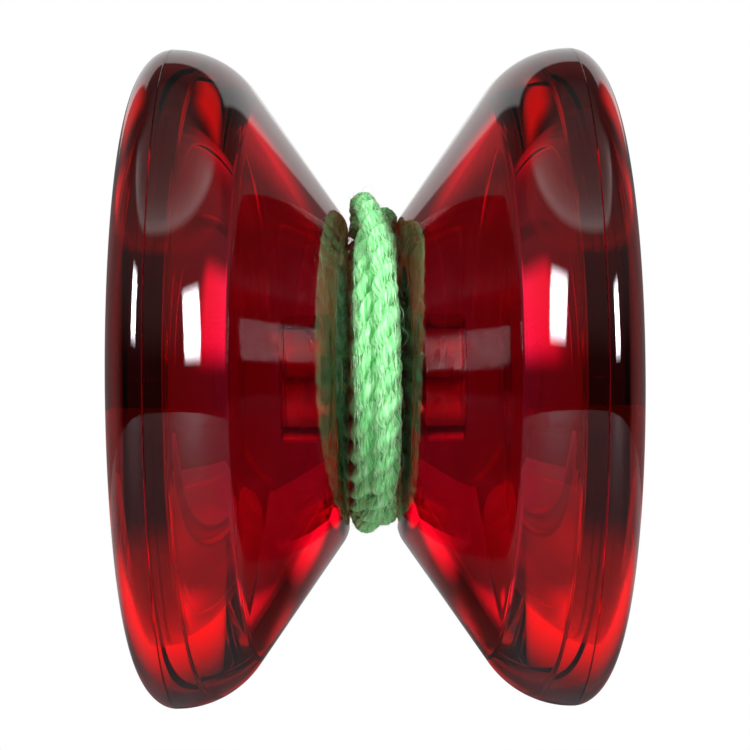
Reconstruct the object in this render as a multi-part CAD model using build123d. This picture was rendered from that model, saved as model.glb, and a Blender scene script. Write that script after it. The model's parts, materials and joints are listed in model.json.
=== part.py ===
from build123d import *
import math
import os

# Take-apart ball bearing yo-yo, wound and ready to throw.
# Frame: the axle lies along X, +Z is up, and the origin is the middle of the string gap on the axle.
# Every part of revolution is drawn as a half profile in (x, r) and turned about the X axis.

# ---- driving dimensions, millimetres ----
DIAMETER = 57.0                  # over the two rims
RIM_R = DIAMETER / 2

# outer shape of a half
HALF_GAP = 2.05                  # string gap is twice this
CONE_ANGLE = 55.2                # degrees between the flank of the V and the axle
WALL_BLEND_R = 3.0               # blend from the flat string wall into the flank
RIM_X = 16.8                     # plane of the largest diameter
RIM_BLEND_R = 8.4                # blend from the flank to the largest diameter
LIP_WIDTH = 3.35                 # elliptical roll from the largest diameter to the side
LIP_DEPTH = 5.4
LAND_OUTER_R = 24.0              # flat ring that the yo-yo rests on when it lies on its side
LIP_CHAMFER = 0.2

# cup behind the flank
WALL = 2.9                       # flank thickness
FLOOR_X = 4.5
CUP_R = 22.9
CAP_SEAT_X = 15.8
CAP_SEAT_R = 23.25
BOSS_R = 5.6
BOSS_END_X = 9.5
BOSS_CHAMFER = 0.35

# hub metalwork
AXLE_D = 4.0                     # M4 x 0.7 stud
AXLE_LENGTH = 18.0
AXLE_CHAMFER = 0.4
THREAD_CLEARANCE = 0.06
NUT_FLATS = 7.0                  # M4 hexagon nut
NUT_THICK = 3.2
NUT_X = 5.6                      # face that bears on the web of the hub
POCKET_CLEARANCE = 0.05
SPACER_POST_R = 3.135
SPACER_MID_GAP = 0.05            # the two posts stop this far short of the middle
SPACER_FLANGE_R = 4.4
SPACER_FACE_X = 2.40
SPACER_END_X = 4.0

# bearing, 6.35 x 12.7 x 4.76
BEARING_HALF = 2.38
BORE_R = 3.175
BEARING_R = 6.35
INNER_LAND_R = 4.25
OUTER_LAND_R = 5.30
PITCH_R = 4.7625
BALL_D = 1.5875
BALL_COUNT = 8
GROOVE_R = 0.84
CAGE_INNER_R = 4.42
CAGE_OUTER_R = 5.12
CAGE_HALF = 1.08
CAGE_POCKET_R = 0.86
SHIELD_SEAT_R = 5.75
SHIELD_SEAT_X = 1.86
SHIELD_INNER_R = 4.42
SHIELD_OUTER_R = 5.72
SHIELD_THICK = 0.18
CLIP_INNER_R = 5.34
CLIP_OUTER_R = 5.72
CLIP_THICK = 0.20
CLIP_SPLIT = 26.0                # degrees missing from the spring clip
RACE_CHAMFER = 0.15
SEAT_R = 6.65                    # bearing recess in each half
SEAT_X = 2.65

# response pad, a silicone ring in a groove beside the bearing
PAD_INNER_R = 7.05
PAD_OUTER_R = 9.55
PAD_FACE_X = 2.12
PAD_FLOOR_X = 2.95
PAD_SIDE_CLEARANCE = 0.05

# snap-in side cap
CAP_R = 23.15
CAP_BACK_X = 15.83
CAP_SKIRT_X = 17.2
CAP_FACE_X = 18.1
CAP_SKIRT_WALL = 1.2
CAP_DISH_R = 18.5
CAP_DISH_X = 17.6
CAP_PLATE = 1.3
CAP_EDGE = 0.3

# string, wound on the bearing
STRING_D = 1.9
WINDING_INNER_R = 6.38
WINDING_NECK_R = 12.4
WINDING_OUTER_R = 14.9
WINDING_HALF = 1.85
WINDING_CROWN_HALF = 2.15
WINDING_ROUND = 0.9
KNOT_R = 16.75                   # centre of the knot, measured from the axle
KNOT_ANGLE = -44.0               # degrees about X from +Y, so the knot is behind and below
KNOT_LENGTH = 4.2
KNOT_THICK = 3.4
LOOP_R = 15.95                   # centreline of the finger loop as it lies on the winding
LOOP_SPREAD = 1.15               # half distance between its two strands
LOOP_START = -28.0               # degrees about X, next to the knot
LOOP_END = 60.0


def turned(outline, x_sign=1.0):
    """Revolve a closed (x, r) outline about X, for the right side or mirrored for the left."""
    solid = revolve(make_face(outline), axis=Axis.X)
    if x_sign < 0:
        solid = mirror(solid, about=Plane.YZ)
    return solid


def turned_polygon(points, x_sign=1.0):
    return turned(Polyline(*points, close=True), x_sign)


def half_outline():
    """Closed half profile of one moulded half, from the string wall round the rim to the hub."""
    slope = math.radians(CONE_ANGLE)
    arc_centre_r = RIM_R - RIM_BLEND_R
    tangent_x = RIM_X - RIM_BLEND_R * math.sin(slope)
    tangent_r = arc_centre_r + RIM_BLEND_R * math.cos(slope)
    flank_foot_r = tangent_r - (tangent_x - HALF_GAP) * math.tan(slope)

    blend_tangent = WALL_BLEND_R * math.tan((math.pi / 2 - slope) / 2)
    blend_start = (HALF_GAP, flank_foot_r - blend_tangent)
    blend_end_x = HALF_GAP + blend_tangent * math.cos(slope)
    blend_end_r = flank_foot_r + blend_tangent * math.sin(slope)

    lip_centre_r = RIM_R - LIP_DEPTH
    lip_angle = math.degrees(math.asin((LAND_OUTER_R - lip_centre_r) / LIP_DEPTH))
    land_x = RIM_X + LIP_WIDTH * math.cos(math.radians(lip_angle))

    inner_foot_x = HALF_GAP + WALL / math.sin(slope)
    floor_r = flank_foot_r + (FLOOR_X - inner_foot_x) * math.tan(slope)
    corner_x = inner_foot_x + (CUP_R - flank_foot_r) / math.tan(slope)

    wall_blend = TangentArc(blend_start, (blend_end_x, blend_end_r), tangent=(0, 1))
    flank = Line(wall_blend @ 1, (tangent_x, tangent_r))
    rim_blend = TangentArc(flank @ 1, (RIM_X, RIM_R), tangent=(math.cos(slope), math.sin(slope)))
    lip = EllipticalCenterArc(
        (RIM_X, lip_centre_r), LIP_WIDTH, LIP_DEPTH, start_angle=lip_angle, arc_size=90 - lip_angle
    )
    inside = Polyline(
        (land_x, LAND_OUTER_R),
        (land_x, CAP_SEAT_R + LIP_CHAMFER),
        (land_x - LIP_CHAMFER, CAP_SEAT_R),
        (CAP_SEAT_X, CAP_SEAT_R),
        (CAP_SEAT_X, CUP_R),
        (corner_x, CUP_R),
        (FLOOR_X, floor_r),
        (FLOOR_X, BOSS_R),
        (BOSS_END_X - BOSS_CHAMFER, BOSS_R),
        (BOSS_END_X, BOSS_R - BOSS_CHAMFER),
        (BOSS_END_X, AXLE_D / 2 + THREAD_CLEARANCE),
        (SPACER_END_X, AXLE_D / 2 + THREAD_CLEARANCE),
        (SPACER_END_X, SPACER_FLANGE_R + POCKET_CLEARANCE),
        (SEAT_X, SPACER_FLANGE_R + POCKET_CLEARANCE),
        (SEAT_X, SEAT_R),
        (HALF_GAP, SEAT_R),
        (HALF_GAP, PAD_INNER_R - PAD_SIDE_CLEARANCE),
        (PAD_FLOOR_X, PAD_INNER_R - PAD_SIDE_CLEARANCE),
        (PAD_FLOOR_X, PAD_OUTER_R + PAD_SIDE_CLEARANCE),
        (HALF_GAP, PAD_OUTER_R + PAD_SIDE_CLEARANCE),
        blend_start,
    )
    return [wall_blend, flank, rim_blend, lip, inside]


def half(x_sign):
    """One moulded half: rim, flank, cup and a hub boss with a hexagon pocket for the nut."""
    solid = turned(half_outline())
    hexagon = RegularPolygon(NUT_FLATS / 2 + POCKET_CLEARANCE, 6, major_radius=False)
    pocket = extrude(Plane.YZ.offset(NUT_X) * hexagon, BOSS_END_X - NUT_X)
    solid = solid - pocket
    if x_sign < 0:
        solid = mirror(solid, about=Plane.YZ)
    return solid


def side_cap(x_sign):
    """Dished disc with a short skirt that snaps into the mouth of the cup."""
    return turned_polygon(
        [
            (CAP_DISH_X - CAP_PLATE, 0),
            (CAP_DISH_X, 0),
            (CAP_DISH_X, CAP_DISH_R - (CAP_FACE_X - CAP_DISH_X)),
            (CAP_FACE_X, CAP_DISH_R),
            (CAP_FACE_X, CAP_R - CAP_EDGE),
            (CAP_FACE_X - CAP_EDGE, CAP_R),
            (CAP_BACK_X, CAP_R),
            (CAP_BACK_X, CAP_R - CAP_SKIRT_WALL),
            (CAP_DISH_X - CAP_PLATE, CAP_R - CAP_SKIRT_WALL),
        ],
        x_sign,
    )


def hub_nut(x_sign):
    hexagon = RegularPolygon(NUT_FLATS / 2, 6, major_radius=False)
    outline = hexagon - Circle(AXLE_D / 2 + THREAD_CLEARANCE)
    solid = extrude(Plane.YZ.offset(NUT_X) * outline, NUT_THICK)
    if x_sign < 0:
        solid = mirror(solid, about=Plane.YZ)
    return solid


def bearing_spacer(x_sign):
    """Stepped aluminium bush: a post in the bearing's bore and a flange in the hub."""
    bore = AXLE_D / 2 + THREAD_CLEARANCE
    return turned_polygon(
        [
            (SPACER_MID_GAP, bore),
            (SPACER_MID_GAP, SPACER_POST_R),
            (SPACER_FACE_X, SPACER_POST_R),
            (SPACER_FACE_X, SPACER_FLANGE_R),
            (SPACER_END_X, SPACER_FLANGE_R),
            (SPACER_END_X, bore),
        ],
        x_sign,
    )


def response_pad(x_sign):
    return turned_polygon(
        [
            (PAD_FACE_X, PAD_INNER_R),
            (PAD_FACE_X, PAD_OUTER_R),
            (PAD_FLOOR_X, PAD_OUTER_R),
            (PAD_FLOOR_X, PAD_INNER_R),
        ],
        x_sign,
    )


def axle():
    """Plain stud of the thread's outside diameter; the thread itself isn't cut."""
    end_x = AXLE_LENGTH / 2
    radius = AXLE_D / 2
    return turned_polygon(
        [
            (-end_x, 0),
            (-end_x, radius - AXLE_CHAMFER),
            (-end_x + AXLE_CHAMFER, radius),
            (end_x - AXLE_CHAMFER, radius),
            (end_x, radius - AXLE_CHAMFER),
            (end_x, 0),
        ]
    )


def ball_track():
    """Torus that the balls run in."""
    return Torus(PITCH_R, GROOVE_R).rotate(Axis.Y, 90)


def inner_race():
    ring = turned_polygon(
        [
            (-BEARING_HALF + RACE_CHAMFER, BORE_R),
            (-BEARING_HALF, BORE_R + RACE_CHAMFER),
            (-BEARING_HALF, INNER_LAND_R),
            (BEARING_HALF, INNER_LAND_R),
            (BEARING_HALF, BORE_R + RACE_CHAMFER),
            (BEARING_HALF - RACE_CHAMFER, BORE_R),
        ]
    )
    return ring - ball_track()


def outer_race():
    ring = turned_polygon(
        [
            (-BEARING_HALF, SHIELD_SEAT_R),
            (-BEARING_HALF, BEARING_R - RACE_CHAMFER),
            (-BEARING_HALF + RACE_CHAMFER, BEARING_R),
            (BEARING_HALF - RACE_CHAMFER, BEARING_R),
            (BEARING_HALF, BEARING_R - RACE_CHAMFER),
            (BEARING_HALF, SHIELD_SEAT_R),
            (SHIELD_SEAT_X, SHIELD_SEAT_R),
            (SHIELD_SEAT_X, OUTER_LAND_R),
            (-SHIELD_SEAT_X, OUTER_LAND_R),
            (-SHIELD_SEAT_X, SHIELD_SEAT_R),
        ]
    )
    return ring - ball_track()


def ball_place(index):
    angle = math.radians(index * 360 / BALL_COUNT)
    return Pos(0, PITCH_R * math.cos(angle), PITCH_R * math.sin(angle))


def bearing_ball(index):
    return ball_place(index) * Sphere(BALL_D / 2)


def bearing_cage():
    """Thin ring with one round pocket for each ball."""
    ring = turned_polygon(
        [
            (-CAGE_HALF, CAGE_INNER_R),
            (-CAGE_HALF, CAGE_OUTER_R),
            (CAGE_HALF, CAGE_OUTER_R),
            (CAGE_HALF, CAGE_INNER_R),
        ]
    )
    for index in range(BALL_COUNT):
        ring = ring - ball_place(index) * Sphere(CAGE_POCKET_R)
    return ring


def bearing_shield(x_sign):
    return turned_polygon(
        [
            (SHIELD_SEAT_X, SHIELD_INNER_R),
            (SHIELD_SEAT_X, SHIELD_OUTER_R),
            (SHIELD_SEAT_X + SHIELD_THICK, SHIELD_OUTER_R),
            (SHIELD_SEAT_X + SHIELD_THICK, SHIELD_INNER_R),
        ],
        x_sign,
    )


def shield_clip(x_sign):
    """Open spring ring that holds a shield in the outer race."""
    inner_x = SHIELD_SEAT_X + SHIELD_THICK
    section = make_face(
        Polyline(
            (inner_x, CLIP_INNER_R),
            (inner_x, CLIP_OUTER_R),
            (inner_x + CLIP_THICK, CLIP_OUTER_R),
            (inner_x + CLIP_THICK, CLIP_INNER_R),
            close=True,
        )
    )
    ring = revolve(section, axis=Axis.X, revolution_arc=360 - CLIP_SPLIT)
    if x_sign < 0:
        ring = mirror(ring, about=Plane.YZ)
    return ring


def string_winding():
    """Outer shape of the wound string, narrow between the walls and fuller at its crown."""
    crown = WINDING_OUTER_R - WINDING_ROUND
    return turned_polygon(
        [
            (-WINDING_HALF, WINDING_INNER_R),
            (-WINDING_HALF, WINDING_NECK_R),
            (-WINDING_CROWN_HALF, crown),
            (-WINDING_CROWN_HALF + WINDING_ROUND, WINDING_OUTER_R),
            (WINDING_CROWN_HALF - WINDING_ROUND, WINDING_OUTER_R),
            (WINDING_CROWN_HALF, crown),
            (WINDING_HALF, WINDING_NECK_R),
            (WINDING_HALF, WINDING_INNER_R),
        ]
    )


def finger_loop():
    """Closed loop of string lying along the winding: two side-by-side strands and two round ends."""
    section = Pos(LOOP_SPREAD, LOOP_R) * Circle(STRING_D / 2)
    far_section = Pos(-LOOP_SPREAD, LOOP_R) * Circle(STRING_D / 2)
    length_angle = LOOP_END - LOOP_START
    near_strand = revolve(section, axis=Axis.X, revolution_arc=length_angle)
    far_strand = revolve(far_section, axis=Axis.X, revolution_arc=length_angle)
    start_turn = revolve(section, axis=Axis.Y, revolution_arc=180)
    end_turn = Rot(X=length_angle) * revolve(far_section, axis=Axis.Y, revolution_arc=180)
    return Rot(X=LOOP_START) * (near_strand + start_turn + far_strand + end_turn)


def string_knot():
    """Overhand knot that closes the finger loop."""
    knot = scale(Sphere(KNOT_THICK / 2), by=(1, 1, KNOT_LENGTH / KNOT_THICK))
    return Rot(X=KNOT_ANGLE) * Pos(0, KNOT_R, 0) * knot


def build_parts():
    parts = {
        "axle": axle(),
        "bearing_inner_race": inner_race(),
        "bearing_outer_race": outer_race(),
        "bearing_cage": bearing_cage(),
        "string_winding": string_winding(),
        "string_knot": string_knot(),
        "finger_loop": finger_loop(),
    }
    for side, x_sign in (("left", -1.0), ("right", 1.0)):
        parts[f"{side}_half"] = half(x_sign)
        parts[f"{side}_side_cap"] = side_cap(x_sign)
        parts[f"{side}_hub_nut"] = hub_nut(x_sign)
        parts[f"{side}_bearing_spacer"] = bearing_spacer(x_sign)
        parts[f"{side}_response_pad"] = response_pad(x_sign)
        parts[f"{side}_bearing_shield"] = bearing_shield(x_sign)
        parts[f"{side}_shield_clip"] = shield_clip(x_sign)
    for index in range(BALL_COUNT):
        parts[f"bearing_ball_{index + 1}"] = bearing_ball(index)
    return parts


os.makedirs("parts", exist_ok=True)
for name, solid in build_parts().items():
    export_step(solid, f"parts/{name}.step")
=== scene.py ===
"""Looks of the transparent red bearing yo-yo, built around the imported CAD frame."""
import bpy
import json
import math
import numpy as np
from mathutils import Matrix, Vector


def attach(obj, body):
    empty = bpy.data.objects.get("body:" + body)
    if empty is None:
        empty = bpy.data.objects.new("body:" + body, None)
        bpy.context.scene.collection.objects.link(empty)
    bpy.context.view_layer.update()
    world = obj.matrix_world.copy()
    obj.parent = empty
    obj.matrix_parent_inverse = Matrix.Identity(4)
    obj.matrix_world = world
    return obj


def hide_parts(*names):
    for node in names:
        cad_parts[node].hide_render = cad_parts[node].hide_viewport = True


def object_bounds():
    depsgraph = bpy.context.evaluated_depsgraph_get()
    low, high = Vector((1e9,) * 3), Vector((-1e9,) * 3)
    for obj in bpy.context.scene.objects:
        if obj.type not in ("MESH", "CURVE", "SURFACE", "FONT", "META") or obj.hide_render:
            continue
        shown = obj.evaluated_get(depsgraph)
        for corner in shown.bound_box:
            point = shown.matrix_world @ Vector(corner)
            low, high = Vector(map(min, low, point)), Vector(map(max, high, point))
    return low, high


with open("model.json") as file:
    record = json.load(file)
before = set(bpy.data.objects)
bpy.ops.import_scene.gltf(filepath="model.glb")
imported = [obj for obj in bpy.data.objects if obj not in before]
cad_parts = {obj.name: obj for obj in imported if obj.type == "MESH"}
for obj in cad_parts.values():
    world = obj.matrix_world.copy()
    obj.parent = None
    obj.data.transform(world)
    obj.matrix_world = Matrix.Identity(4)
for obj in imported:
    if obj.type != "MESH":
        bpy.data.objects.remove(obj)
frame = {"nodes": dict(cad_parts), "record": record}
cad_box = [list(corner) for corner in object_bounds()]

MM = 0.001
SEED = 11

# ---- driving dimensions of the two halves, millimetres, as in the CAD ----
RIM_R = 28.5
HALF_GAP = 2.05
CONE_ANGLE = math.radians(55.2)
WALL_BLEND_R = 3.0
RIM_X = 16.8
RIM_BLEND_R = 8.4
LIP_WIDTH = 3.35
LIP_DEPTH = 5.4
LAND_OUTER_R = 24.0
WALL = 2.9
FLOOR_X = 4.5
CUP_R = 22.9
CAP_SEAT_X = 15.8
CAP_SEAT_R = 23.25
BOSS_R = 5.6
BOSS_END_X = 9.5
SPACER_END_X = 4.0
SPACER_HOLE_R = 4.45
BOLT_HOLE_R = 2.06
NUT_X = 5.6
POCKET_FLATS = 7.1
SEAT_R = 6.65
SEAT_X = 2.65
PAD_HOLE_INNER_R = 7.0
PAD_HOLE_OUTER_R = 9.6
PAD_FLOOR_X = 2.95
SEAM_DEPTH = 0.05
SEAM_HALF_WIDTH = 0.06
LIP_START = 0.06                  # radians past the seam at which the lip's curve begins

# ---- fineness of the meshes ----
LATHE_FACES = 288                 # faces around a lathe-turned body
SMOOTH_ANGLE = 32                 # degrees: edges sharper than this stay sharp
FILLET_STEPS = 4
WALL_BLEND_STEPS = 10
RIM_BLEND_STEPS = 26
LIP_STEPS = 22


# ---------------------------------------------------------------- mesh tools
def new_object(name, points, faces, smooth_angle=None):
    """Smooth-shaded mesh object from points in metres, in the scene."""
    mesh = bpy.data.meshes.new(name)
    mesh.from_pydata(points, [], faces)
    mesh.validate()
    mesh.update()
    mesh.polygons.foreach_set("use_smooth", [True] * len(mesh.polygons))
    if smooth_angle is not None:
        mesh.set_sharp_from_angle(angle=math.radians(smooth_angle))
    piece = bpy.data.objects.new(name, mesh)
    bpy.context.scene.collection.objects.link(piece)
    return piece


def arc(centre, radius, start, end, steps):
    """Points on a circle in (x, r), from one angle to another, both ends included."""
    angles = np.linspace(start, end, steps + 1)
    return [(centre[0] + radius * math.cos(a), centre[1] + radius * math.sin(a)) for a in angles]


def softened(outline, corners):
    """Outline with a small fillet at each listed corner: {index: radius}."""
    result = []
    count = len(outline)
    for i, point in enumerate(outline):
        radius = corners.get(i)
        if not radius:
            result.append(point)
            continue
        here = np.array(point)
        before = np.array(outline[i - 1]) - here
        after = np.array(outline[(i + 1) % count]) - here
        before /= np.linalg.norm(before)
        after /= np.linalg.norm(after)
        half_angle = math.acos(np.clip(before @ after, -1, 1)) / 2
        reach = radius / math.tan(half_angle)
        bisector = (before + after) / np.linalg.norm(before + after)
        centre = here + bisector * radius / math.sin(half_angle)
        start = here + before * reach - centre
        end = here + after * reach - centre
        for t in np.linspace(0, 1, FILLET_STEPS + 1):
            direction = start * (1 - t) + end * t
            direction *= radius / np.linalg.norm(direction)
            result.append(tuple(centre + direction))
    return result


def lathe(name, outline, side, hexagon=()):
    """Closed body turned about X from a closed (x, r) outline in millimetres.
    Outline points listed in hexagon lie on a six-sided ring in place of a round one."""
    count = len(outline)
    angles = np.arange(LATHE_FACES) * 2 * math.pi / LATHE_FACES
    sector = np.mod(angles + math.pi / 6, math.pi / 3) - math.pi / 6
    six_sided = 1 / np.cos(sector)
    points = np.zeros((LATHE_FACES, count, 3))
    for j, (x, r) in enumerate(outline):
        ring = r * (six_sided if j in hexagon else 1.0)
        points[:, j, 0] = side * x
        points[:, j, 1] = ring * np.cos(angles + math.pi / 2)
        points[:, j, 2] = ring * np.sin(angles + math.pi / 2)
    faces = []
    for i in range(LATHE_FACES):
        following = (i + 1) % LATHE_FACES
        for j in range(count):
            after = (j + 1) % count
            quad = (i * count + j, following * count + j,
                    following * count + after, i * count + after)
            faces.append(quad if side > 0 else quad[::-1])
    return new_object(name, (points.reshape(-1, 3) * MM).tolist(), faces, SMOOTH_ANGLE)


# ---------------------------------------------------------------- materials
def node(tree, kind, inputs=None, **settings):
    """New shader node with its settings, and its inputs linked to sockets or set to values."""
    made = tree.nodes.new(kind)
    for key, value in settings.items():
        setattr(made, key, value)
    for key, value in (inputs or {}).items():
        if isinstance(value, bpy.types.NodeSocket):
            tree.links.new(value, made.inputs[key])
        else:
            made.inputs[key].default_value = value
    return made


def new_material(name):
    """New material, with its node tree, its Principled surface and its output."""
    material = bpy.data.materials.new(name)
    material.use_nodes = True
    tree = material.node_tree
    surface = next(n for n in tree.nodes if n.type == "BSDF_PRINCIPLED")
    output = next(n for n in tree.nodes if n.type == "OUTPUT_MATERIAL")
    return material, tree, surface, output


def set_inputs(surface, **values):
    """Sets inputs by name, with underscores in place of spaces."""
    for key, value in values.items():
        surface.inputs[key.replace("_", " ")].default_value = value


def ramp(tree, factor, stops):
    """Colour ramp through the stops [(place, colour), ...]."""
    made = node(tree, "ShaderNodeValToRGB", {"Fac": factor})
    while len(made.color_ramp.elements) < len(stops):
        made.color_ramp.elements.new(0.5)
    for element, (place, value) in zip(made.color_ramp.elements, stops):
        element.position = place
        element.color = (*value, 1)
    return made.outputs["Color"]


def grey(value):
    return (value, value, value)


PLASTIC_IOR = 1.585
PLASTIC_TINT = (0.955, 0.0, 0.38)  # 1 lets a colour through, 0 absorbs it at the full density
PLASTIC_DENSITY = 1000.0          # absorption in a metre of plastic
PLASTIC_ROUGHNESS = 0.015


def clear_plastic(name):
    """Transparent red polycarbonate: refraction, absorption with depth, faint scuffs."""
    material, tree, surface, output = new_material(name)
    set_inputs(surface, Base_Color=(1, 1, 1, 1), Transmission_Weight=1.0, IOR=PLASTIC_IOR)
    volume = node(tree, "ShaderNodeVolumeAbsorption", {"Color": (*PLASTIC_TINT, 1),
                                                       "Density": PLASTIC_DENSITY})
    tree.links.new(volume.outputs[0], output.inputs["Volume"])
    place = node(tree, "ShaderNodeTexCoord").outputs["Object"]
    cloudy = node(tree, "ShaderNodeTexNoise", {"Vector": place, "Scale": 160.0, "Detail": 4.0})
    haze = ramp(tree, cloudy.outputs["Fac"], [
        (0.45, grey(PLASTIC_ROUGHNESS)), (0.75, grey(PLASTIC_ROUGHNESS * 3))])
    tree.links.new(haze, surface.inputs["Roughness"])
    scuffs = node(tree, "ShaderNodeTexNoise", {"Vector": place, "Scale": 900.0, "Detail": 3.0})
    bump = node(tree, "ShaderNodeBump", {"Height": scuffs.outputs["Fac"], "Strength": 0.02,
                                         "Distance": 0.00002})
    tree.links.new(bump.outputs[0], surface.inputs["Normal"])
    return material


def metal(name, colour, roughness, grain_scale, grain=0.12):
    """Turned or ground metal with a fine grain that is stretched around the axle."""
    material, tree, surface, _ = new_material(name)
    set_inputs(surface, Metallic=1.0)
    place = node(tree, "ShaderNodeTexCoord").outputs["Object"]
    stretch = node(tree, "ShaderNodeMapping", {"Vector": place, "Scale": (grain_scale, 120, 120)})
    grain_noise = node(tree, "ShaderNodeTexNoise", {"Vector": stretch.outputs[0], "Scale": 1.0,
                                                    "Detail": 5.0})
    rough = ramp(tree, grain_noise.outputs["Fac"],
                 [(0.3, grey(roughness * 0.7)), (0.7, grey(roughness * 1.5))])
    tree.links.new(rough, surface.inputs["Roughness"])
    dark = tuple(c * (1 - grain) for c in colour)
    shade = ramp(tree, grain_noise.outputs["Fac"], [(0.25, dark), (0.75, colour)])
    tree.links.new(shade, surface.inputs["Base Color"])
    bump = node(tree, "ShaderNodeBump", {"Height": grain_noise.outputs["Fac"], "Strength": 0.25,
                                         "Distance": 0.00003})
    tree.links.new(bump.outputs[0], surface.inputs["Normal"])
    return material


def silicone(name):
    """Off-white rubber with a fine mottle."""
    material, tree, surface, _ = new_material(name)
    set_inputs(surface, Roughness=0.55)
    place = node(tree, "ShaderNodeTexCoord").outputs["Object"]
    mottled = node(tree, "ShaderNodeTexNoise", {"Vector": place, "Scale": 1500.0, "Detail": 4.0})
    shade = ramp(tree, mottled.outputs["Fac"], [
        (0.3, (0.55, 0.52, 0.46)), (0.7, (0.74, 0.71, 0.64))])
    tree.links.new(shade, surface.inputs["Base Color"])
    bump = node(tree, "ShaderNodeBump", {"Height": mottled.outputs["Fac"], "Strength": 0.3,
                                         "Distance": 0.00005})
    tree.links.new(bump.outputs[0], surface.inputs["Normal"])
    return material


def spun_string(name):
    """Bright green spun polyester: fibres run along the yarn. Over the yarn's own uneven green, its
    colour has painted shade in the gaps between the fibres and painted near-white highlights on
    them.
    """
    material, tree, surface, _ = new_material(name)
    set_inputs(surface, Roughness=0.75, Sheen_Weight=0.35, Sheen_Roughness=0.4)
    surface.inputs["Sheen Tint"].default_value = (0.75, 1.0, 0.75, 1)
    along = node(tree, "ShaderNodeUVMap", uv_map="yarn").outputs["UV"]
    fibre_place = node(tree, "ShaderNodeMapping", {"Vector": along, "Scale": (0.50, 17.0, 1.0)})
    fibres = node(tree, "ShaderNodeTexNoise", {"Vector": fibre_place.outputs[0], "Scale": 1.0,
                                               "Detail": 4.0, "Roughness": 0.65})
    # painted shade and highlight: dark green where the fibre noise dips into the gaps, near-white
    # green where it rises onto the fibres
    shade = ramp(tree, fibres.outputs["Fac"], [
        (0.34, (0.06, 0.42, 0.10)), (0.5, (0.24, 0.82, 0.27)), (0.66, (0.56, 0.98, 0.56))])
    tree.links.new(shade, surface.inputs["Base Color"])
    bump = node(tree, "ShaderNodeBump", {"Height": fibres.outputs["Fac"], "Strength": 0.9,
                                         "Distance": 0.00012})
    tree.links.new(bump.outputs[0], surface.inputs["Normal"])
    return material


# ---------------------------------------------------------------- the plastic halves
def half_outline():
    """Closed (x, r) outline of one half, with the small fillets that a moulding has."""
    slope = CONE_ANGLE
    centre_r = RIM_R - RIM_BLEND_R
    tangent_x = RIM_X - RIM_BLEND_R * math.sin(slope)
    tangent_r = centre_r + RIM_BLEND_R * math.cos(slope)
    foot_r = tangent_r - (tangent_x - HALF_GAP) * math.tan(slope)
    inner_foot_x = HALF_GAP + WALL / math.sin(slope)
    floor_r = foot_r + (FLOOR_X - inner_foot_x) * math.tan(slope)
    corner_x = inner_foot_x + (CUP_R - foot_r) / math.tan(slope)

    blend_turn = math.pi / 2 - slope
    blend_reach = WALL_BLEND_R * math.tan(blend_turn / 2)
    blend_centre = (HALF_GAP + WALL_BLEND_R, foot_r - blend_reach)
    outer = arc(blend_centre, WALL_BLEND_R, math.pi, math.pi - blend_turn, WALL_BLEND_STEPS)
    outer += arc((RIM_X, centre_r), RIM_BLEND_R, math.pi / 2 + slope, math.pi / 2, RIM_BLEND_STEPS)
    outer[-1] = (RIM_X - SEAM_HALF_WIDTH, RIM_R)
    outer += [(RIM_X, RIM_R - SEAM_DEPTH), (RIM_X + SEAM_HALF_WIDTH, RIM_R)]
    lip_centre_r = RIM_R - LIP_DEPTH
    land_angle = math.asin((LAND_OUTER_R - lip_centre_r) / LIP_DEPTH)
    for t in np.linspace(math.pi / 2 - LIP_START, land_angle, LIP_STEPS):
        outer.append((RIM_X + LIP_WIDTH * math.cos(t), lip_centre_r + LIP_DEPTH * math.sin(t)))
    land_x = outer[-1][0]

    sharp = [
        (land_x, CAP_SEAT_R),
        (CAP_SEAT_X, CAP_SEAT_R),
        (CAP_SEAT_X, CUP_R),
        (corner_x, CUP_R),
        (FLOOR_X, floor_r),
        (FLOOR_X, BOSS_R),
        (BOSS_END_X, BOSS_R),
        (BOSS_END_X, POCKET_FLATS / 2),
        (NUT_X, POCKET_FLATS / 2),
        (NUT_X, BOLT_HOLE_R),
        (SPACER_END_X, BOLT_HOLE_R),
        (SPACER_END_X, SPACER_HOLE_R),
        (SEAT_X, SPACER_HOLE_R),
        (SEAT_X, SEAT_R),
        (HALF_GAP, SEAT_R),
        (HALF_GAP, PAD_HOLE_INNER_R),
        (PAD_FLOOR_X, PAD_HOLE_INNER_R),
        (PAD_FLOOR_X, PAD_HOLE_OUTER_R),
        (HALF_GAP, PAD_HOLE_OUTER_R),
    ]
    # fillet of each of these corners, by its place in the list; the others stay sharp
    radii = {0: 0.2, 1: 0.08, 2: 0.08, 3: 0.5, 4: 0.8, 5: 0.4, 6: 0.35, 7: 0.1, 13: 0.1, 14: 0.08,
             15: 0.06, 18: 0.06}
    first = len(outer)
    outline = softened(outer + sharp, {first + i: radius for i, radius in radii.items()})
    # the nut's pocket: every point around it, its fillet at the mouth included
    low_r = BOLT_HOLE_R + 0.1
    high_r = POCKET_FLATS / 2 + radii[7] + 0.01
    hexagon = [i for i, (x, r) in enumerate(outline) if x >= NUT_X - 1e-6 and low_r < r < high_r]
    return outline, hexagon


def build_half(side_name, side, material):
    """One plastic half, on the left (side -1) or on the right (side 1)."""
    outline, hexagon = half_outline()
    piece = lathe(f"{side_name}_shell", outline, side, hexagon=hexagon)
    piece.data.materials.append(material)
    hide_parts(f"{side_name}_half")
    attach(piece, f"{side_name}_side")


# side cap, as in the CAD
CAP_R = 23.15
CAP_BACK_X = 15.83
CAP_FACE_X = 18.1
CAP_SKIRT_WALL = 1.2
CAP_DISH_R = 18.5
CAP_DISH_X = 17.6
CAP_PLATE = 1.3
CAP_DISH_SLOPE = 0.5              # how far the dish's wall leans inwards
CENTRE_R = 0.02                   # the lathe's small hole at the axle's centre line


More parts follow.
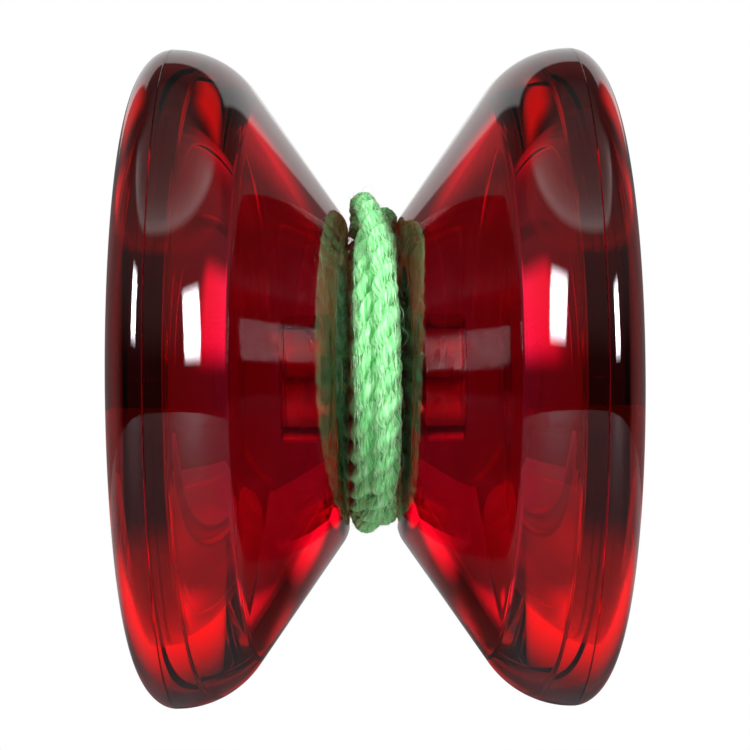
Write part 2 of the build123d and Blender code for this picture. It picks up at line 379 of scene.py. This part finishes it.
def build_cap(side_name, side, material):
    """Side cap: a dished disc with a skirt, as a lathe-turned body."""
    sharp = [
        (CAP_DISH_X - CAP_PLATE, CENTRE_R),
        (CAP_DISH_X, CENTRE_R),
        (CAP_DISH_X, CAP_DISH_R - CAP_DISH_SLOPE),
        (CAP_FACE_X, CAP_DISH_R),
        (CAP_FACE_X, CAP_R),
        (CAP_BACK_X, CAP_R),
        (CAP_BACK_X, CAP_R - CAP_SKIRT_WALL),
        (CAP_DISH_X - CAP_PLATE, CAP_R - CAP_SKIRT_WALL),
    ]
    radii = {2: 0.3, 3: 0.25, 4: 0.3, 5: 0.15, 6: 0.15, 7: 0.3}
    # the corners are listed from the centre outwards; the lathe wants them the other way round
    last = len(sharp) - 1
    outline = softened(sharp[::-1], {last - i: radius for i, radius in radii.items()})
    piece = lathe(f"{side_name}_cap_disc", outline, side)
    piece.data.materials.append(material)
    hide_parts(f"{side_name}_side_cap")
    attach(piece, f"{side_name}_cap")


# ---------------------------------------------------------------- the string
YARN_PITCH = 4.4                  # length of string in one full twist of its two plies
PLY_R = 0.68
PLY_OFFSET = 0.35
RIDGE_DEPTH = 0.07                # unevenness of a ply, as parts of its radius
SWELL_DEPTH = 0.05
PLY_BULGE = 0.10
RIDGE_REACH = 5                   # over how many steps of the path the unevenness is smoothed
SWELL_REACH = 12
COLUMN_X = 1.0                    # the windings lie in two columns, at this x and its negative
ROW_WOBBLE = 0.04
FIRST_ROW_R = 7.35
ROW_STEP = 1.14
FULL_ROWS = 5
POINTS_PER_TURN = 24
CROSSOVER_TURN = 60               # degrees in which the string moves over to the next place
SPLINE_STEPS = 10
LOOP_R = 15.95                    # the finger loop's distance from the axle
LOOP_WOBBLE = 0.12
LOOP_RETURN = 0.8                 # degrees by which the loop's second strand runs ahead
LOOP_LIFT = 0.35                  # the loop's two ends climb to the knot
LOOP_LIFT_ANGLE = -33             # degrees: the loop is lifted below this angle
KNOT_R = 16.75                    # the knot's distance from the axle
KNOT_ANGLE = -44.0                # degrees about X from +Y: the knot is behind and below
KNOT_STEPS = 24
KNOT_HEIGHT = 0.55
KNOT_WIDTH = 0.40
KNOT_REACH = 0.52
KNOT_THIN = 0.55                  # how thick the pulled-tight string is, as part of its own size
LOOP_THIN = 0.98
OUTER_LENGTH = 0.235              # the string that loose fibres grow on, in metres
FIBRE_SIDES = 3
LAID_FIBRES = 1700
STRAY_FIBRES = 330


def column_x(turn):
    """Side on which an inner turn lies. The side that comes first changes with each row."""
    return -COLUMN_X if (turn + turn // 2) % 2 else COLUMN_X


def row_radius(turn):
    """Distance from the axle of an inner turn. Two turns make a row."""
    return FIRST_ROW_R + ROW_STEP * (turn // 2)


def smooth_step(t):
    """Eases from 0 to 1."""
    t = min(max(t, 0.0), 1.0)
    return t * t * (3 - 2 * t)


def follow(stops, turn):
    """Value at a turn angle in degrees, eased between the stops [(angle, value), ...]."""
    for (a0, v0), (a1, v1) in zip(stops, stops[1:]):
        if turn <= a1:
            return v0 + (v1 - v0) * smooth_step((turn - a0) / (a1 - a0))
    return stops[-1][1]


# The three outer turns. Angles are in degrees from the top, over the front and under the bottom:
# the side-to-side place x, the distance r from the axle and the angle at which the turn ends.
OUTER_TURNS = [
    {"x": [(0, -1.0), (30, 0.95), (75, 0.62), (120, 0.62), (300, 0.95), (360, 1.20)],
     "r": [(0, 13.5), (25, 13.7), (90, 12.9), (180, 11.9), (270, 12.9), (330, 13.8), (360, 14.0)],
     "end": 360},
    {"x": [(0, 1.20), (38, -0.62), (120, -0.62), (300, -0.95), (360, -0.85)],
     "r": [(0, 14.0), (40, 13.4), (90, 13.0), (135, 12.5), (180, 11.7), (240, 12.6), (315, 14.2),
           (360, 15.3)],
     "end": 360},
    {"x": [(0, -0.85), (12, -0.55), (55, 0.95), (85, 1.18), (120, 1.12), (166, -0.75), (200, -0.90),
           (226, -0.2)],
     "r": [(0, 15.35), (14, 15.2), (60, 14.4), (90, 14.1), (125, 13.8), (150, 13.4), (180, 12.1),
           (205, 12.8), (226, 14.6)],
     "end": 226},
]


def winding_points():
    """The string's route, in millimetres, from the bearing out to the knot."""
    # the curve cuts the corners of its control points, so they lie a little outside it
    outside = 1 / math.cos(math.pi / POINTS_PER_TURN) ** 0.5
    points = []

    def add(x, radius, turn):
        angle = math.radians(turn)
        points.append((x, -radius * outside * math.sin(angle), radius * outside * math.cos(angle)))

    step = 360 / POINTS_PER_TURN
    generator = np.random.default_rng(SEED)
    for inner in range(2 * FULL_ROWS):
        previous = max(inner - 1, 0)
        wobble = generator.uniform(-ROW_WOBBLE, ROW_WOBBLE)
        for k in range(POINTS_PER_TURN):
            ease = smooth_step(k * step / CROSSOVER_TURN)
            x = column_x(previous) + (column_x(inner) - column_x(previous)) * ease + wobble
            radius = row_radius(previous) + (row_radius(inner) - row_radius(previous)) * ease
            add(x, radius, k * step)
    for turn in OUTER_TURNS:
        for k in range(int(round(turn["end"] / step))):
            angle = k * step
            add(follow(turn["x"], angle), follow(turn["r"], angle), angle)
    last = OUTER_TURNS[-1]
    add(follow(last["x"], last["end"]), follow(last["r"], last["end"]), last["end"])
    return points


def spline_path(name, points, cyclic=False):
    """Points read from a smooth NURBS curve whose control points are given in millimetres."""
    curve = bpy.data.curves.new(name, "CURVE")
    curve.dimensions = "3D"
    curve.resolution_u = SPLINE_STEPS
    spline = curve.splines.new("NURBS")
    spline.points.add(len(points) - 1)
    for target, point in zip(spline.points, points):
        target.co = (*(c * MM for c in point), 1)
    spline.order_u = 3
    spline.use_cyclic_u = cyclic
    spline.use_endpoint_u = not cyclic
    holder = bpy.data.objects.new(name, curve)
    mesh = bpy.data.meshes.new_from_object(holder)
    path = np.array([tuple(v.co) for v in mesh.vertices])
    bpy.data.objects.remove(holder)
    bpy.data.curves.remove(curve)
    bpy.data.meshes.remove(mesh)
    return path


def even_path(path, spacing, closed=False):
    """The path resampled at an even spacing along its length, and that length."""
    if closed:
        path = np.vstack([path, path[:1]])
    lengths = np.concatenate([[0], np.cumsum(np.linalg.norm(np.diff(path, axis=0), axis=1))])
    count = max(int(round(lengths[-1] / spacing)), 8)
    places = np.linspace(0, lengths[-1], count + 1)
    if closed:
        places = places[:-1]
    return np.stack([np.interp(places, lengths, path[:, k]) for k in range(3)], axis=1), lengths[-1]


def path_frames(path, closed=False):
    """Tangent and two side directions along the path. The second one faces out from the axle."""
    if closed:
        tangent = np.roll(path, -1, axis=0) - np.roll(path, 1, axis=0)
    else:
        tangent = np.gradient(path, axis=0)
    tangent /= np.linalg.norm(tangent, axis=1)[:, None]
    outward = path * (0.0, 1.0, 1.0)
    side = np.cross(tangent, outward)
    side /= np.linalg.norm(side, axis=1)[:, None]
    return tangent, side, np.cross(side, tangent)


def smooth_noise(generator, rows, columns, reach):
    """Random numbers between about -1 and 1, smooth along the rows, whose ends join up."""
    raw = generator.normal(size=(rows, columns))
    raw = np.vstack([raw[-2 * reach:], raw, raw[:2 * reach]])
    kernel = np.hanning(2 * reach + 1)
    kernel /= math.sqrt((kernel ** 2).sum())
    smooth = np.stack([np.convolve(raw[:, c], kernel, mode="same") for c in range(columns)], axis=1)
    return smooth[2 * reach:2 * reach + rows] * 0.5


def yarn_object(name, points, faces, texture):
    """Smooth-shaded mesh object with a texture map that runs along its yarn."""
    mesh = bpy.data.meshes.new(name)
    mesh.from_pydata(points, [], faces)
    layer = mesh.uv_layers.new(name="yarn")
    layer.data.foreach_set("uv", texture.astype(np.float32).ravel())
    mesh.polygons.foreach_set("use_smooth", [True] * len(mesh.polygons))
    mesh.update()
    piece = bpy.data.objects.new(name, mesh)
    bpy.context.scene.collection.objects.link(piece)
    return piece


def twisted_string(name, path, spacing, around, closed=False, thin=1.0):
    """Two-ply twisted string along a path in metres. Each ply is a closed tube with fibre ridges."""
    generator = np.random.default_rng(SEED + len(path))  # another seed for each piece
    line, length = even_path(path, spacing * MM, closed)
    _, side, other = path_frames(line, closed)
    count = len(line)
    along = np.arange(count) * length / count / MM
    turns = length / MM / YARN_PITCH
    if closed:
        turns = max(round(turns), 1)
    twist = -along / (length / MM) * turns * 2 * math.pi
    # each ply turns back within the twist, so that its fibres run nearly along the string
    back = PLY_OFFSET / PLY_R
    spin = -back * twist
    if closed:
        spin = -np.round(back * turns) / turns * twist
    points, faces, uvs = [], [], []
    for ply in range(2):
        phase = twist + ply * math.pi
        offset = PLY_OFFSET * thin * MM
        centre = line + offset * (np.cos(phase)[:, None] * side + np.sin(phase)[:, None] * other)
        ridges = smooth_noise(generator, count, around, RIDGE_REACH)
        swell = smooth_noise(generator, count, 1, SWELL_REACH)
        base = len(points)
        for k in range(around):
            angle = 2 * math.pi * k / around + spin
            uneven = 1 + RIDGE_DEPTH * ridges[:, k] + SWELL_DEPTH * swell[:, 0]
            radius = PLY_R * thin * MM * uneven
            # a ply bulges outwards and is pressed flat where it meets the other one
            radius = radius * (1 + PLY_BULGE * np.cos(angle - phase))
            ring = centre + radius[:, None] * (
                np.cos(angle)[:, None] * side + np.sin(angle)[:, None] * other)
            points.append(ring)
        for k in range(around):
            following = (k + 1) % around
            a = (base + k) * count + np.arange(count)
            b = (base + following) * count + np.arange(count)
            a_next, b_next = np.roll(a, -1), np.roll(b, -1)
            v0, v1 = k / around + ply, (k + 1) / around + ply
            stop = count if closed else count - 1
            faces.append(np.stack([a, a_next, b_next, b], axis=1)[:stop])
            u = along[:stop]
            u_next = u + length / count / MM
            low, high = np.full(stop, v0), np.full(stop, v1)
            uvs.append(np.stack([
                np.stack([u, low], 1), np.stack([u_next, low], 1),
                np.stack([u_next, high], 1), np.stack([u, high], 1)], axis=1))
    quads = np.concatenate(faces).tolist()
    texture = np.concatenate(uvs).reshape(-1, 2)
    if not closed:
        for ply in range(2):
            first = [(ply * around + k) * count for k in range(around)]
            last = [corner + count - 1 for corner in first]
            quads += [first, last[::-1]]
            texture = np.concatenate([texture, np.zeros((2 * around, 2))])
    piece = yarn_object(name, np.concatenate(points).tolist(), quads, texture)
    return piece, line, length


def loop_points():
    """The finger loop's route, in millimetres: out of the knot along the winding, and back."""
    half = [(-41, 0.30), (-35, 0.75), (-27, 1.12), (-16, 1.18), (-4, 1.10), (9, 1.16), (22, 1.08),
            (35, 1.17), (46, 1.10), (54, 0.95), (59, 0.50)]
    route = half + [(angle + LOOP_RETURN, -x) for angle, x in half[::-1]]
    points = []
    for k, (angle, x) in enumerate(route):
        lift = LOOP_LIFT if angle < LOOP_LIFT_ANGLE else 0.0
        radius = LOOP_R + LOOP_WOBBLE * math.sin(1.7 * k) + lift
        angle = math.radians(angle)
        points.append((x, radius * math.cos(angle), radius * math.sin(angle)))
    return points


def knot_points():
    """Route of the tied knot, in millimetres: a trefoil lying on the winding."""
    angle = math.radians(KNOT_ANGLE)
    outward = np.array((0.0, math.cos(angle), math.sin(angle)))
    along = np.array((0.0, -math.sin(angle), math.cos(angle)))
    across = np.array((1.0, 0.0, 0.0))
    points = []
    for t in np.linspace(0, 2 * math.pi, KNOT_STEPS, endpoint=False):
        points.append(tuple(
            outward * (KNOT_R - KNOT_HEIGHT * math.sin(3 * t))
            + across * KNOT_WIDTH * (math.sin(t) + 2 * math.sin(2 * t))
            + along * KNOT_REACH * (math.cos(t) - 2 * math.cos(2 * t))))
    return points


def fibre_tubes(name, lines, radii):
    """Thin closed tubes along many short lines, as one mesh: loose fibres."""
    sides = FIBRE_SIDES
    aside = (0.31, 0.57, 0.76)        # a slanting direction that hardly any fibre runs along
    tip = 0.25                        # how far into the half-wave of its taper a fibre starts
    points, faces = [], []
    for line, radius in zip(lines, radii):
        tangent = np.gradient(line, axis=0)
        tangent /= np.linalg.norm(tangent, axis=1)[:, None]
        side = np.cross(tangent, aside)
        side /= np.linalg.norm(side, axis=1)[:, None]
        other = np.cross(tangent, side)
        taper = radius * np.sin(np.linspace(tip, math.pi - tip, len(line))) ** 0.5
        base = len(points) * sides
        for i in range(len(line)):
            points.append([line[i] + taper[i] * (math.cos(a) * side[i] + math.sin(a) * other[i])
                           for a in np.arange(sides) * 2 * math.pi / sides])
            if i:
                ring = base + i * sides
                for k in range(sides):
                    after = (k + 1) % sides
                    faces.append((ring - sides + k, ring - sides + after, ring + after, ring + k))
        faces.append(tuple(base + k for k in range(sides))[::-1])
        faces.append(tuple(base + (len(line) - 1) * sides + k for k in range(sides)))
    return new_object(name, np.array(points).reshape(-1, 3).tolist(), faces)


def string_fuzz(name, line, spacing):
    """Loose fibres on the outer turns: most lie along the string, some stand away from it."""
    generator = np.random.default_rng(SEED + 5)
    _, side, outward = path_frames(line)
    count = len(line)
    lines, radii = [], []
    while len(lines) < LAID_FIBRES + STRAY_FIBRES:
        is_stray = len(lines) >= LAID_FIBRES
        reach = generator.uniform(1.2, 3.4) if is_stray else generator.uniform(1.5, 4.5)
        steps = int(reach / (spacing / MM))
        start = generator.integers(0, count - steps - 1)
        index = start + np.arange(steps + 1)
        t = np.linspace(0, 1, steps + 1)
        angle = generator.uniform(-0.15, math.pi + 0.15) + generator.uniform(-0.5, 0.9) * t
        # height is the fibre's distance from the string's middle line, in millimetres
        if is_stray:
            rise = generator.uniform(0.15, 0.8)
            height = 0.92 + rise * np.sin(t * generator.uniform(1.4, 3.1)) ** 1.5
            angle = angle + generator.uniform(-0.7, 0.7) * t ** 2
            radii.append(generator.uniform(0.006, 0.010) * MM)
        else:
            level = 0.91 + 0.08 * generator.uniform()
            height = level + 0.07 * np.sin(t * math.pi * generator.uniform(1, 3)) ** 2
            radii.append(generator.uniform(0.020, 0.042) * MM)
        drift = generator.normal(size=3) * 0.12 * MM if is_stray else np.zeros(3)
        away = np.cos(angle)[:, None] * side[index] + np.sin(angle)[:, None] * outward[index]
        lines.append(line[index] + height[:, None] * MM * away + t[:, None] * drift)
    return fibre_tubes(name, lines, radii)


def loose_fibres(name):
    """Single bright green fibres, a little lighter than the string."""
    material, tree, surface, _ = new_material(name)
    set_inputs(surface, Roughness=0.6)
    place = node(tree, "ShaderNodeTexCoord").outputs["Object"]
    mottled = node(tree, "ShaderNodeTexNoise", {"Vector": place, "Scale": 2500.0, "Detail": 2.0})
    shade = ramp(tree, mottled.outputs["Fac"], [
        (0.35, (0.26, 0.78, 0.28)), (0.65, (0.62, 0.97, 0.62))])
    tree.links.new(shade, surface.inputs["Base Color"])
    return material


# ---------------------------------------------------------------- studio
CAMERA_DISTANCE = 0.154
CAMERA_YAW = math.radians(0.6)
CAMERA_ROLL = math.radians(-0.35)
CAMERA_LENS = 83.95
AIM = Vector((0.00021, 0.0, 0.00025))

# softboxes: name, degrees to the side, degrees up, watts
SOFTBOXES = [("left_softbox", -42.5, 21.0, 6.2), ("right_softbox", 42.5, 16.0, 7.5)]
SOFTBOX_DISTANCE = 0.6
SOFTBOX_WIDTH = 0.20
SOFTBOX_HEIGHT = 0.26
SOFTBOX_TINT = (0.97, 0.93, 1.0, 1)
SOFTBOX_PEAK = 1.3                # brightness of the cloth's middle, against an even one

TABLE_R = 0.165
TABLE_SIDES = 96
TABLE_CLEARANCE = 0.00005         # the yo-yo rests this far above the table
TABLE_GREY = 0.12
TABLE_BOUNCE = 0.55               # light that the paper returns to dull surfaces
POOL_PLACE = (0.017, 0.020)       # centre of the light under each half: sideways and behind
POOL_INNER_R = 0.005
POOL_OUTER_R = 0.017
POOL_GLOW = 2.3
PAPER_NEAR = 0.01                 # where the lit paper behind the yo-yo starts and is full
PAPER_FAR = 0.05
PAPER_GLOW = 0.2


def band(tree, value, low, high, soft):
    """1 between low and high, 0 outside, with soft edges."""
    rise = node(tree, "ShaderNodeMapRange", {"Value": value, "From Min": low - soft,
                                             "From Max": low + soft},
                interpolation_type="SMOOTHSTEP")
    fall = node(tree, "ShaderNodeMapRange", {"Value": value, "From Min": high - soft,
                                             "From Max": high + soft, "To Min": 1.0, "To Max": 0.0},
                interpolation_type="SMOOTHSTEP")
    return times(tree, rise.outputs[0], fall.outputs[0])


def maths(tree, operation, first, second=0.0):
    """One calculation with two sockets or numbers."""
    return node(tree, "ShaderNodeMath", {0: first, 1: second}, operation=operation).outputs[0]


def times(tree, *values):
    """Product of several sockets or numbers."""
    product = values[0]
    for value in values[1:]:
        product = maths(tree, "MULTIPLY", product, value)
    return product


def build_camera():
    """Camera in front of the yo-yo, level with its axle."""
    data = bpy.data.cameras.new("camera")
    data.lens = CAMERA_LENS
    data.sensor_width = 36
    data.clip_start = 0.005
    data.clip_end = 20
    camera = bpy.data.objects.new("camera", data)
    bpy.context.scene.collection.objects.link(camera)
    away = Vector((-math.sin(CAMERA_YAW), -math.cos(CAMERA_YAW), 0))
    camera.location = AIM + away * CAMERA_DISTANCE
    camera.rotation_euler = (-away).to_track_quat("-Z", "Y").to_euler()
    camera.rotation_euler.rotate_axis("Z", CAMERA_ROLL)
    bpy.context.scene.camera = camera


def build_softbox(name, azimuth, elevation, power):
    """Area light that faces the yo-yo. Rays that come through the plastic don't see it."""
    data = bpy.data.lights.new(name, "AREA")
    data.shape = "RECTANGLE"
    data.size = SOFTBOX_WIDTH
    data.size_y = SOFTBOX_HEIGHT
    data.energy = power
    light = bpy.data.objects.new(name, data)
    bpy.context.scene.collection.objects.link(light)
    azimuth, elevation = math.radians(azimuth), math.radians(elevation)
    direction = Vector((math.sin(azimuth) * math.cos(elevation),
                        -math.cos(azimuth) * math.cos(elevation), math.sin(elevation)))
    light.location = direction * SOFTBOX_DISTANCE
    light.rotation_euler = (-direction).to_track_quat("-Z", "Y").to_euler()
    light.visible_camera = False
    light.visible_transmission = False
    # a cloth front is brightest in its middle and fades towards its edges
    data.use_nodes = True
    tree = data.node_tree
    emission = next(n for n in tree.nodes if n.type == "EMISSION")
    emission.inputs["Color"].default_value = SOFTBOX_TINT
    place = node(tree, "ShaderNodeNewGeometry").outputs["Parametric"]
    across = node(tree, "ShaderNodeSeparateXYZ", {"Vector": place})
    fade = times(tree, band(tree, across.outputs["X"], 0.07, 0.93, 0.10),
                 band(tree, across.outputs["Y"], 0.15, 0.85, 0.17), SOFTBOX_PEAK)
    tree.links.new(fade, emission.inputs["Strength"])


def build_world():
    """Studio around the yo-yo. Camera rays see white paper. Other rays see a dark room in front
    and a dim wall behind, with bright patches on the wall. Mirror rays see some of the patches,
    and rays that come through the plastic see the others."""
    world = bpy.data.worlds.new("studio")
    bpy.context.scene.world = world
    world.use_nodes = True
    tree = world.node_tree
    tree.nodes.clear()
    direction = node(tree, "ShaderNodeTexCoord").outputs["Generated"]
    parts = node(tree, "ShaderNodeSeparateXYZ", {"Vector": direction}).outputs
    sideways = maths(tree, "ABSOLUTE", parts["X"])
    is_behind = maths(tree, "GREATER_THAN", parts["Y"])
    path = node(tree, "ShaderNodeLightPath").outputs
    seen_through = path["Is Transmission Ray"]
    mirrored = maths(tree, "SUBTRACT", 1.0, seen_through)

    # brightness by height, from straight down at 0 to straight up at 1
    height = node(tree, "ShaderNodeMapRange", {"Value": parts["Z"], "From Min": -1.0,
                                               "From Max": 1.0}).outputs[0]
    behind = ramp(tree, height, [
        (0.0, grey(0.3)), (0.41, grey(0.2)), (0.425, grey(0.16)), (0.70, grey(0.15)),
        (0.82, grey(0.06)), (0.93, grey(0.06)), (1.0, grey(0.22))])
    front = ramp(tree, height, [
        (0.0, grey(0.25)), (0.40, grey(0.01)), (0.55, grey(0.03)), (0.67, grey(0.16)),
        (0.865, grey(0.2)), (0.885, grey(1.5)), (0.91, grey(0.9)), (0.94, grey(0.5)),
        (1.0, grey(0.25))])
    depth = node(tree, "ShaderNodeMapRange", {"Value": parts["Y"], "From Min": -0.05,
                                              "From Max": 0.25}, interpolation_type="SMOOTHSTEP")
    room = node(tree, "ShaderNodeMix", {0: depth.outputs[0], 6: front, 7: behind},
                data_type="RGBA")

    def patch(shown_to, brightness, side, side_soft, heights, height_soft):
        """Bright patch of the wall behind, mirrored left and right, in parts of a direction."""
        across = band(tree, sideways, *side, side_soft)
        up = band(tree, parts["Z"], *heights, height_soft)
        return times(tree, across, up, is_behind, shown_to, brightness)

    top_panel = patch(mirrored, 0.62, side=(-1.0, 0.43), side_soft=0.02,
                      heights=(0.21, 0.68), height_soft=0.015)
    backdrop = patch(mirrored, 0.9, side=(-1.0, 0.16), side_soft=0.05,
                     heights=(-0.16, 0.3), height_soft=0.05)
    upper_panels = patch(seen_through, 1.1, side=(0.28, 0.56), side_soft=0.08,
                         heights=(0.42, 0.78), height_soft=0.08)
    strip_lights = patch(seen_through, 1.5, side=(0.53, 0.64), side_soft=0.015,
                         heights=(0.03, 0.17), height_soft=0.03)
    patches = maths(tree, "ADD", top_panel, upper_panels)
    patches = maths(tree, "MAXIMUM", patches, backdrop)
    patches = maths(tree, "ADD", patches, strip_lights)
    lit = node(tree, "ShaderNodeMix", {0: 1.0, 6: room.outputs[2], 7: patches}, data_type="RGBA",
               blend_type="ADD")
    surroundings = node(tree, "ShaderNodeBackground", {"Color": lit.outputs[2], "Strength": 1.0})
    paper = node(tree, "ShaderNodeBackground", {"Color": (1, 1, 1, 1), "Strength": 1.0})
    shown = node(tree, "ShaderNodeMixShader", {0: path["Is Camera Ray"], 1: surroundings.outputs[0],
                                               2: paper.outputs[0]})
    output = node(tree, "ShaderNodeOutputWorld")
    tree.links.new(shown.outputs[0], output.inputs["Surface"])


def build_floor():
    """Round table top under the yo-yo. Camera rays see white paper, other rays a darker table with a
    painted pool of light under each half.
    """
    floor_z = cad_box[0][2] - TABLE_CLEARANCE
    rim = [(TABLE_R * math.cos(a), TABLE_R * math.sin(a), floor_z)
           for a in np.linspace(0, 2 * math.pi, TABLE_SIDES, endpoint=False)]
    floor = new_object("floor", rim, [tuple(range(TABLE_SIDES))])
    material, tree, surface, output = new_material("pale_floor")
    set_inputs(surface, Base_Color=(TABLE_GREY, TABLE_GREY, TABLE_GREY, 1), Roughness=0.7,
               Emission_Color=(1, 1, 1, 1))
    path = node(tree, "ShaderNodeLightPath").outputs
    place = node(tree, "ShaderNodeTexCoord").outputs["Object"]
    # painted pool of light: a glow on the table just behind the yo-yo, under each half, that stands
    # in for the light that comes through it
    either_side = node(tree, "ShaderNodeVectorMath", {0: place}, operation="ABSOLUTE")
    from_pool = node(tree, "ShaderNodeVectorMath", {0: either_side.outputs[0],
                                                    1: (*POOL_PLACE, -floor_z)},
                     operation="DISTANCE")
    pool = node(tree, "ShaderNodeMapRange", {"Value": from_pool.outputs["Value"],
                                             "From Min": POOL_INNER_R, "From Max": POOL_OUTER_R,
                                             "To Min": POOL_GLOW, "To Max": 0.0},
                interpolation_type="SMOOTHSTEP")
    through = times(tree, pool.outputs[0], path["Is Transmission Ray"])
    bounced = times(tree, path["Is Diffuse Ray"], TABLE_BOUNCE)
    # the lit paper behind the yo-yo is mirrored in the undersides of the cones
    depth = node(tree, "ShaderNodeSeparateXYZ", {"Vector": place}).outputs["Y"]
    lit_paper = node(tree, "ShaderNodeMapRange", {"Value": depth, "From Min": PAPER_NEAR,
                                                  "From Max": PAPER_FAR, "To Min": 0.0,
                                                  "To Max": PAPER_GLOW})
    mirrored = times(tree, lit_paper.outputs[0], path["Is Glossy Ray"])
    glow = maths(tree, "ADD", through, bounced)
    glow = maths(tree, "ADD", glow, mirrored)
    tree.links.new(glow, surface.inputs["Emission Strength"])
    paper = node(tree, "ShaderNodeEmission", {"Color": (1, 1, 1, 1), "Strength": 1.0})
    shown = node(tree, "ShaderNodeMixShader", {0: path["Is Camera Ray"], 1: surface.outputs[0],
                                               2: paper.outputs[0]})
    tree.links.new(shown.outputs[0], output.inputs["Surface"])
    floor.data.materials.append(material)


def build_studio():
    """Camera, surroundings, table and lights, and how deep light is followed into the plastic."""
    build_camera()
    build_world()
    build_floor()
    for name, azimuth, elevation, power in SOFTBOXES:
        build_softbox(name, azimuth, elevation, power)
    scene = bpy.context.scene
    scene.view_settings.view_transform = "Standard"
    scene.cycles.max_bounces = 24
    scene.cycles.transmission_bounces = 24
    scene.cycles.transparent_max_bounces = 16
    scene.cycles.glossy_bounces = 12
    scene.cycles.diffuse_bounces = 4
    scene.cycles.blur_glossy = 0.2


# ---------------------------------------------------------------- build everything
build_studio()

shell_plastic = clear_plastic("red_shell_plastic")
cap_plastic = clear_plastic("red_cap_plastic")
for side_name, side in (("left", -1), ("right", 1)):
    build_half(side_name, side, shell_plastic)
    build_cap(side_name, side, cap_plastic)

finishes = {
    "zinc_steel": metal("zinc_plate", (0.62, 0.61, 0.58), 0.25, 300),
    "anodised_aluminium": metal("satin_aluminium", (0.75, 0.75, 0.77), 0.32, 3000),
    "bearing_steel": metal("ground_steel", (0.56, 0.56, 0.57), 0.22, 4000),
    "ball_steel": metal("polished_steel", (0.75, 0.75, 0.76), 0.06, 100, grain=0.02),
    "axle_steel": metal("black_steel", (0.16, 0.16, 0.17), 0.38, 2500),
    "silicone": silicone("silicone_pad"),
}
for row in frame["record"]["subparts"]:
    finish = finishes.get(row["material_slot"])
    if finish:
        mesh = frame["nodes"][row["node"]].data
        mesh.materials.clear()
        mesh.materials.append(finish)

string_material = spun_string("green_yarn")
spacing, around = ((0.24, 20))
route = spline_path("string_route", winding_points())
string, string_line, string_length = twisted_string("wound_string", route, spacing, around)
route = spline_path("loop_route", loop_points(), cyclic=True)
loop, _, _ = twisted_string("string_finger_loop", route, spacing, around, closed=True,
                            thin=LOOP_THIN)
route = spline_path("knot_route", knot_points(), cyclic=True)
knot, _, _ = twisted_string("tied_knot", route, spacing / 2, around, closed=True, thin=KNOT_THIN)
outer_line = string_line[-int(OUTER_LENGTH / (spacing * MM)):]
fuzz = string_fuzz("string_fuzz", outer_line, spacing * MM)
fuzz.data.materials.append(loose_fibres("green_fibres"))
for piece in (string, loop, knot):
    piece.data.materials.append(string_material)
for piece in (string, loop, knot, fuzz):
    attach(piece, "string_and_outer_race")
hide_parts("string_winding")
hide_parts("finger_loop")
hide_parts("string_knot")
